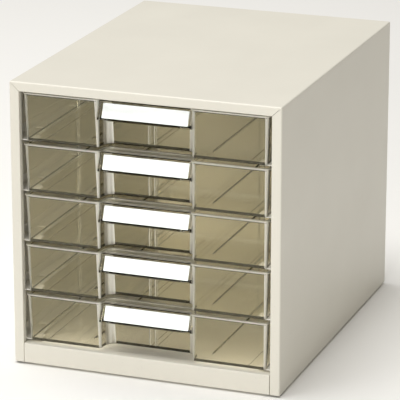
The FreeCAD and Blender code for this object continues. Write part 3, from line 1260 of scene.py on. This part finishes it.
@dataclass
class LabelHolder:
    """Tilted holder over the finger recess, in the tray's own frame."""

    half: float = 46.0 * MM
    rise: float = 18.1 * MM
    tilt: float = radians(22.5)
    plate: float = 1.6 * MM
    rim: float = 1.9 * MM
    end: float = 2.0 * MM
    top_bar: float = 3.2 * MM
    lip: float = 2.0 * MM
    lip_half: float = 36.0 * MM
    set_back: float = 0.1 * MM
    stud: float = 1.1 * MM
    stud_offset: float = 1.6 * MM
    stud_dome: tuple[Point, ...] = ((1.0, 0.4), (0.85, 0.4 / 3), (0.5, 0.0))
    edge: float = 0.3 * MM
    lip_edge: float = 0.85 * MM
    card_half: float = 42.0 * MM
    card: float = 0.3 * MM
    card_corner: float = 0.6 * MM
    cover: float = 0.8 * MM
    cover_edge: float = 0.2 * MM
    play: float = 0.05 * MM
    end_play: float = 0.15 * MM

    @property
    def length(self) -> float:
        """Length of the holder along its tilt."""
        return self.rise / cos(self.tilt)

    def seat(self, top: float) -> Matrix:
        """Matrix from the holder's frame, where -y faces out and z runs up it, to the tray's."""
        move = Matrix.Translation((0, self.set_back + self.rim * cos(self.tilt), top - self.rise))
        return move @ Matrix.Rotation(-self.tilt, 4, "X")

    def moulding(self, top: float) -> list[Solid]:
        """The plate, end cheeks, bottom lip, top bar and clip studs.

        Args:
            top: The height of the top of the tray's body.

        Returns:
            Solids that overlap, to be joined to the tray.
        """
        sunk = self.plate / 2
        inner = self.half - self.end
        length = self.length - self.stud * sin(self.tilt)
        bars = [Solid.bar((-self.half, 0, 0), (self.half, self.plate, length), self.edge),
                Solid.bar((-self.lip_half, -self.rim, 0), (self.lip_half, sunk, self.lip), self.lip_edge),
                Solid.bar((-self.half, -self.rim, self.length - self.top_bar),
                          (self.half, sunk, length), self.edge)]
        cheek = Solid.bar((inner, -self.rim, 0), (self.half, sunk, length), self.edge)
        stud = self.clip_stud()
        bars += [cheek, cheek.mirrored(), stud, stud.mirrored()]
        return [bar.moved(self.seat(top)) for bar in bars]

    def clip_stud(self) -> Solid:
        """Round stud beside the lip, with a domed end.

        Returns:
            The right-hand stud.
        """
        dome = [(self.stud * across, self.rim - self.stud * down) for across, down in self.stud_dome]
        profile = [(self.stud, -self.plate / 2), *dome]
        turned = Solid.lathe(profile, (0, 0, 0), steps=20).moved(Matrix.Rotation(QUARTER_TURN, 4, "X"))
        return turned.shifted(self.lip_half + self.stud_offset, 0, self.lip - self.stud)

    def paper_card(self, top: float) -> Solid:
        """Card that stands in the holder.

        Args:
            top: The height of the top of the tray's body.

        Returns:
            The card, in the tray's frame.
        """
        low = self.lip + self.end_play
        high = self.length - self.top_bar - self.end_play
        half, corner = self.card_half, self.card_corner
        plan = outline([Corner(-half, low, corner), Corner(half, low, corner),
                        Corner(half, high, corner), Corner(-half, high, corner)])
        card = Solid.prism(plan, Along.Y, -self.play - self.card, -self.play)
        return card.moved(self.seat(top))

    def clear_cover(self, top: float) -> Solid:
        """Clear strip in front of the card.

        Args:
            top: The height of the top of the tray's body.

        Returns:
            The strip, in the tray's frame.
        """
        half = self.half - self.end - self.end_play
        start = self.play * 2 + self.card
        low = self.lip + self.end_play
        high = self.length - self.top_bar - self.end_play
        strip = Solid.bar((-half, -start - self.cover, low), (half, -start, high), self.cover_edge)
        return strip.moved(self.seat(top))


class RibPair(NamedTuple):
    """Sizes of two ribs that stand side by side."""

    width: float
    spacing: float
    depth: float

    def middles(self, station: float = 0.0) -> tuple[float, float]:
        """Where the ribs' own middles lie, for a pair at a station."""
        return station - self.spacing / 2, station + self.spacing / 2


@dataclass
class Drawer:
    """Moulded tray with its label card and cover.

    The tray is shaped in its own frame: x = 0 in the middle, y = 0 at the front of the rim and
    z = 0 at its underside.
    """

    wardrobe: Wardrobe
    holder: LabelHolder
    runners: RunnerSet
    wall: float = 2.0 * MM
    floor: float = 2.0 * MM
    draft: float = 2.0 * MM
    rim: float = 1.6 * MM
    rim_lip: float = 1.2 * MM
    rim_edge: float = 0.4 * MM
    bottom_edge: float = 1.4 * MM
    inner_edge: float = 1.0 * MM
    front_corner: float = 6.0 * MM
    rear_corner: float = 9.0 * MM
    smallest_corner: float = 0.4 * MM
    mouth: float = 89.2 * MM
    recess: float = 17.5 * MM
    lean: float = radians(7.3)
    recess_draft: float = 0.3 * MM
    recess_front: float = 6.0 * MM
    recess_back: float = 7.0 * MM
    web: float = 1.6 * MM
    rib_drop: float = 3.0 * MM
    rib_rounding: float = 0.95
    centre_pair: RibPair = RibPair(2.2 * MM, 5.6 * MM, 2.0 * MM)
    slot_pair: RibPair = RibPair(1.8 * MM, 4.2 * MM, 1.7 * MM)
    slot_station: float = 123 * MM
    floor_rib_width: float = 1.6 * MM
    floor_rib_gap: float = 2.0 * MM
    floor_rib_margin: float = 16 * MM
    floor_rib_rows: tuple[Point, ...] = ((2.8 * MM, 0.4 * MM), (59.5 * MM, 1.0 * MM), (100 * MM, 0.5 * MM))
    nib_drop: float = 0.8 * MM
    nib_length: float = 6.0 * MM
    nib_side_gap: float = 0.6 * MM
    nib_gap: float = 0.2 * MM
    nib_edge: float = 0.2 * MM
    mark_radius: float = 3.2 * MM
    mark_depth: float = 0.15 * MM
    mark_columns: tuple[float, ...] = (-88 * MM, -52 * MM, 52 * MM, 88 * MM)
    mark_rows: tuple[float, ...] = (0.1, 0.37, 0.63, 0.92)
    arc_steps: int = 6

    def __post_init__(self) -> None:
        """Take the tray's outside sizes from the frame."""
        low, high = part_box("drawer_1_tray")
        self.half = high.x
        self.length = high.y - low.y
        self.height = high.z - low.z - self.nib_drop
        self.body_top = self.height - self.rim
        self.front = low.y

    def plan(self, inset: float, recess_inset: float) -> list[Point]:
        """Plan of the tray, moved inwards, with the finger recess at the front.

        Args:
            inset: How far the outside, the front and the back of the recess move in.
            recess_inset: How far the sides of the recess move in.

        Returns:
            Its points.
        """
        side = self.half - inset
        rear = self.length - inset
        deep = self.recess + inset
        mouth = self.mouth / 2 + recess_inset / cos(self.lean)
        slope = tan(self.lean)
        half = [Corner(mouth - deep * slope, deep, self.recess_back + inset),
                Corner(mouth - inset * slope, inset, max(self.recess_front - inset, self.smallest_corner)),
                Corner(side, inset, max(self.front_corner - inset, self.smallest_corner)),
                Corner(side, rear, max(self.rear_corner - inset, self.smallest_corner))]
        left = [Corner(-corner.x, corner.y, corner.radius) for corner in reversed(half)]
        return outline(half + left, self.arc_steps)

    def ring(self, height: float, extra: float) -> list[Vector]:
        """Outline of the drafted body at a height.

        Args:
            height: The height above the tray's underside.
            extra: How far it is moved inwards besides the draft.

        Returns:
            Its points.
        """
        low_share = 1 - height / self.body_top
        inset = self.rim_lip + self.draft * low_share + extra
        recess_inset = self.rim_lip + self.recess_draft * low_share + extra
        return [Vector((x, y, height)) for x, y in self.plan(inset, recess_inset)]

    def rim_ring(self, height: float, inset: float) -> list[Vector]:
        """Outline of the rim at a height, moved inwards."""
        return [Vector((x, y, height)) for x, y in self.plan(inset, inset)]

    def shell(self) -> Solid:
        """Floor, walls and rim as one skin: up the outside, over the rim and down the inside.

        Returns:
            The shell.
        """
        quarter = [QUARTER_TURN * step / self.arc_steps for step in range(self.arc_steps + 1)]
        rings = [self.ring(self.bottom_edge * (1 - cos(angle)), self.bottom_edge * (1 - sin(angle)))
                 for angle in quarter]
        rings.append(self.ring(self.body_top, 0))
        edge = self.rim_edge
        small = edge / 2
        rings += [self.rim_ring(self.body_top, small), self.rim_ring(self.body_top + small, 0)]
        rings += [self.rim_ring(self.height - edge * (1 - sin(angle)), edge * (1 - cos(angle)))
                  for angle in quarter]
        inside = self.rim_lip + self.wall
        rings += [self.rim_ring(self.height - edge * (1 - cos(angle)), inside - edge * (1 - sin(angle)))
                  for angle in quarter]
        rings.append(self.ring(self.body_top, self.wall))
        rings += [self.ring(self.floor + self.inner_edge * (1 - sin(angle)),
                            self.wall + self.inner_edge * (1 - cos(angle))) for angle in quarter]
        return Solid.stack(rings)

    def wall_line(self, height: float, depth: float) -> float:
        """How far in the middle of a wall lies at a height, for a share of its thickness."""
        return self.rim_lip + self.draft * (1 - height / self.body_top) + self.wall * depth

    def recess_web(self) -> Solid:
        """Flat web over the recess, from the top of the label holder to the recess's back wall.

        Returns:
            The web.
        """
        holder = self.holder
        start = holder.set_back + holder.rim * cos(holder.tilt) + holder.rise * tan(holder.tilt)
        middle = self.wall / 2
        back = self.recess + self.rim_lip + middle
        slope = tan(self.lean)
        mouth = self.mouth / 2 + (self.rim_lip + middle) / cos(self.lean)
        radius = self.recess_back + self.rim_lip + middle
        near = mouth - start * slope
        far = mouth - back * slope
        corners = [Corner(-near, start), Corner(near, start), Corner(far, back, radius),
                   Corner(-far, back, radius)]
        return Solid.prism(outline(corners, self.arc_steps), Along.Z, self.body_top - self.web,
                           self.body_top + self.rim / 2)

    def rib(self, profile: Sequence[Point], along: Along, middle: float, width: float) -> Solid:
        """Upright rib with rounded upright edges.

        Args:
            profile: Its outline, seen along an axis.
            along: That axis.
            middle: Where its middle lies on the axis.
            width: Its width along the axis.

        Returns:
            The rib.
        """

        def upright(edge: bmesh.types.BMEdge) -> bool:
            """Whether an edge stands upright."""
            low, high = (corner.co for corner in edge.verts)
            return abs(high.z - low.z) > (high - low).length * 0.9

        half = width / 2
        rib = Solid.prism(profile, along, middle - half, middle + half)
        return rib.rounded(half * self.rib_rounding, upright)

    def centre_ribs(self) -> list[Solid]:
        """Upright ribs in the middle of the recess wall and of the rear wall.

        Returns:
            The four ribs.
        """
        low = self.floor / 2
        top = self.body_top - self.rib_drop
        tip = self.recess + self.rim_lip + self.draft + self.wall + self.centre_pair.depth
        front = [(self.recess + self.wall_line(low, 0.5), low), (tip, low), (tip, top),
                 (self.recess + self.wall_line(top, 0.5), top)]
        rear = [(self.length - y + self.recess, z) for y, z in front]
        return [self.rib(points, Along.X, middle, self.centre_pair.width)
                for middle in self.centre_pair.middles() for points in (front, rear)]

    def slot_ribs(self) -> list[Solid]:
        """Pairs of upright ribs on the side walls, which hold a cross divider.

        Returns:
            The eight ribs.
        """
        low = self.floor / 2
        top = self.body_top - self.rib_drop
        depth = self.slot_pair.depth
        points = []
        for height, share, reach in ((low, 0.5, 0.0), (low, 1.0, depth), (top, 1.0, depth), (top, 0.5, 0.0)):
            points.append((self.half - self.wall_line(height, share) - reach, height))
        ribs = []
        for station in (self.slot_station, self.length - self.slot_station):
            for middle in self.slot_pair.middles(station):
                rib = self.rib(points, Along.Y, middle, self.slot_pair.width)
                ribs += [rib, rib.mirrored()]
        return ribs

    def floor_ribs(self) -> list[Solid]:
        """Low rounded ribs along the floor, which lift the sheets off it.

        Returns:
            The six ribs.
        """
        half = self.floor_rib_width / 2
        drafted = self.rim_lip + self.draft + self.wall
        end = self.length - drafted - self.floor_rib_gap
        ribs = []
        for offset, height in self.floor_rib_rows:
            behind_recess = offset < self.mouth / 2 + self.floor_rib_margin
            start = drafted + (self.recess if behind_recess else self.floor_rib_gap)
            rib = Solid.bar((offset - half, start, self.floor / 2),
                            (offset + half, end, self.floor + height), height / 2)
            ribs += [rib, rib.mirrored()]
        return ribs

    def stop_nibs(self) -> list[Solid]:
        """Nibs under the tray that meet the tabs of the runners.

        Returns:
            The right and the left nib.
        """
        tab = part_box("right_runner_1")[0]
        travel = frame["joints"][0]["range_m"][1]
        inner = tab.x + self.nib_side_gap
        outer = inner + self.runners.tab_reach - self.nib_side_gap * 2
        start = tab.y + self.runners.tab_length - self.front + travel + self.nib_gap
        nib = Solid.bar((inner, start, -self.nib_drop), (outer, start + self.nib_length, self.floor / 2),
                        self.nib_edge)
        return [nib, nib.mirrored()]

    def ejector_marks(self) -> list[Solid]:
        """Shallow round marks that the mould's pins left in the floor.

        Returns:
            Plugs that press them, one for each pin.
        """
        radius, depth = self.mark_radius, self.mark_depth
        profile = [(radius, self.floor), (radius, -depth * 0.4), (radius - depth, -depth)]
        return [Solid.lathe(profile, (x, self.length * share, self.floor), steps=28)
                for x in self.mark_columns for share in self.mark_rows]

    def tray(self) -> Solid:
        """The whole moulding.

        Returns:
            The tray.
        """
        added = [self.recess_web(), *self.holder.moulding(self.body_top), *self.centre_ribs(),
                 *self.slot_ribs(), *self.floor_ribs(), *self.stop_nibs()]
        return self.shell().joined(added).cut(self.ejector_marks())

    def build(self, count: int) -> None:
        """Make the moulding, card and cover once, and set copies of them for every drawer.

        Args:
            count: How many drawers the case holds.
        """
        shapes = {"tray": (self.tray(), Slot.TRAY),
                  "label_card": (self.holder.paper_card(self.body_top), Slot.CARD),
                  "label_cover": (self.holder.clear_cover(self.body_top), Slot.COVER)}
        for number in range(1, count + 1):
            body = f"drawer_{number}"
            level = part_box(f"{body}_tray")[1].z - self.height
            for part, (solid, slot) in shapes.items():
                self.wardrobe.fit(solid.shifted(y=self.front, z=level), f"moulded_{body}_{part}", body,
                                  f"{body}_{part}", slot)


# The studio


class Lamp(NamedTuple):
    """A square area light: its name, where it stands, the length of its side and its power in watts."""

    name: str
    place: tuple[float, float, float]
    size: float
    power: float


@dataclass
class Studio:
    """White floor, soft lights and the camera."""

    lamps: tuple[Lamp, ...] = (Lamp("top_light", (-0.7, -0.3, 4.0), 3.0, 160.0),
                               Lamp("front_light", (0.16, -3.3, 1.0), 0.9, 37.0))
    floor_size: float = 12.0
    azimuth: float = radians(20.204)
    elevation: float = radians(17.624)
    eye: tuple[float, float, float] = (0.8601, -2.3581, 0.9233)
    focal_length: float = 242.6
    sky: float = 0.18
    sky_colour: Colour = (1.0, 0.94, 0.82)
    backdrop_colour: Colour = (0.66, 0.65, 0.63)

    def floor(self) -> None:
        """A wide sheet of white paper under the feet."""
        half = self.floor_size / 2
        mesh = bpy.data.meshes.new("studio_floor")
        mesh.from_pydata([(-half, -half, 0), (half, -half, 0), (half, half, 0), (-half, half, 0)], [],
                         [(0, 1, 2, 3)])
        mesh.materials.append(FloorPaper("studio_paper").material())
        floor = bpy.data.objects.new("studio_floor", mesh)
        bpy.context.scene.collection.objects.link(floor)

    def softbox(self, lamp: Lamp) -> None:
        """Set up a lamp, aimed at the middle of the object.

        Args:
            lamp: The lamp.
        """
        light = bpy.data.lights.new(lamp.name, "AREA")
        light.shape = "SQUARE"
        light.size = lamp.size
        light.energy = lamp.power
        softbox = bpy.data.objects.new(lamp.name, light)
        softbox.location = lamp.place
        aim = (cad_box[0] + cad_box[1]) / 2 - Vector(lamp.place)
        softbox.rotation_euler = aim.to_track_quat("-Z", "Y").to_euler()
        bpy.context.scene.collection.objects.link(softbox)

    def camera(self) -> None:
        """The camera where the photograph was taken from, with a long lens."""
        lens = bpy.data.cameras.new("camera")
        lens.lens = self.focal_length
        camera = bpy.data.objects.new("camera", lens)
        camera.location = self.eye
        camera.rotation_euler = (QUARTER_TURN - self.elevation, 0, self.azimuth)
        bpy.context.scene.collection.objects.link(camera)
        bpy.context.scene.camera = camera

    def sky_light(self) -> None:
        """Even light from all round."""
        world = bpy.data.worlds.new("studio_light")
        world.use_nodes = True
        tree = world.node_tree
        light = next(node for node in tree.nodes if node.type == "BACKGROUND")
        light.inputs["Color"].default_value = (*self.sky_colour, 1.0)
        light.inputs["Strength"].default_value = self.sky
        backdrop = tree.nodes.new("ShaderNodeBackground")
        backdrop.inputs["Color"].default_value = (*self.backdrop_colour, 1.0)
        ray = tree.nodes.new("ShaderNodeLightPath")
        mix = tree.nodes.new("ShaderNodeMixShader")
        tree.links.new(ray.outputs["Is Camera Ray"], mix.inputs["Fac"])
        tree.links.new(light.outputs[0], mix.inputs[1])
        tree.links.new(backdrop.outputs[0], mix.inputs[2])
        tree.links.new(mix.outputs[0], tree.get_output_node("CYCLES").inputs["Surface"])
        bpy.context.scene.world = world

    def rendering(self) -> None:
        """Colour handling, and enough bounces for light to pass through stacked trays."""
        scene = bpy.context.scene
        scene.view_settings.view_transform = "Standard"
        cycles = scene.cycles
        cycles.max_bounces = 40
        cycles.transmission_bounces = 36
        cycles.glossy_bounces = 12
        cycles.diffuse_bounces = 6
        cycles.sample_clamp_indirect = 10.0
        cycles.use_denoising = True

    def build(self) -> None:
        """Set up the whole studio."""
        self.floor()
        self.sky_light()
        for lamp in self.lamps:
            self.softbox(lamp)
        self.camera()
        self.rendering()


def main() -> None:
    """Build the studio and every sub-assembly in order."""
    logging.basicConfig(level=logging.INFO, format="%(message)s")
    Studio().build()
    wardrobe = Wardrobe({
        Slot.CASE: Enamel("case_enamel", (0.795, 0.765, 0.675)),
        Slot.RUNNER: Enamel("runner_enamel", (0.86, 0.84, 0.78), roughness=0.42),
        Slot.TRAY: SmokyPlastic("smoky_plastic", (0.965, 0.94, 0.86), (0.98, 0.973, 0.955)),
        Slot.COVER: ClearStrip("clear_strip"),
        Slot.CARD: CardPaper("card_paper"),
        Slot.FOOT: FootRubber("foot_rubber"),
    })
    drawers = len(frame["joints"])
    runners = RunnerSet(wardrobe, drawers)
    SteelCase(wardrobe).build()
    runners.build()
    FootSet(wardrobe).build()
    Drawer(wardrobe, LabelHolder(), runners).build(drawers)


if __name__ == "__main__":
    main()
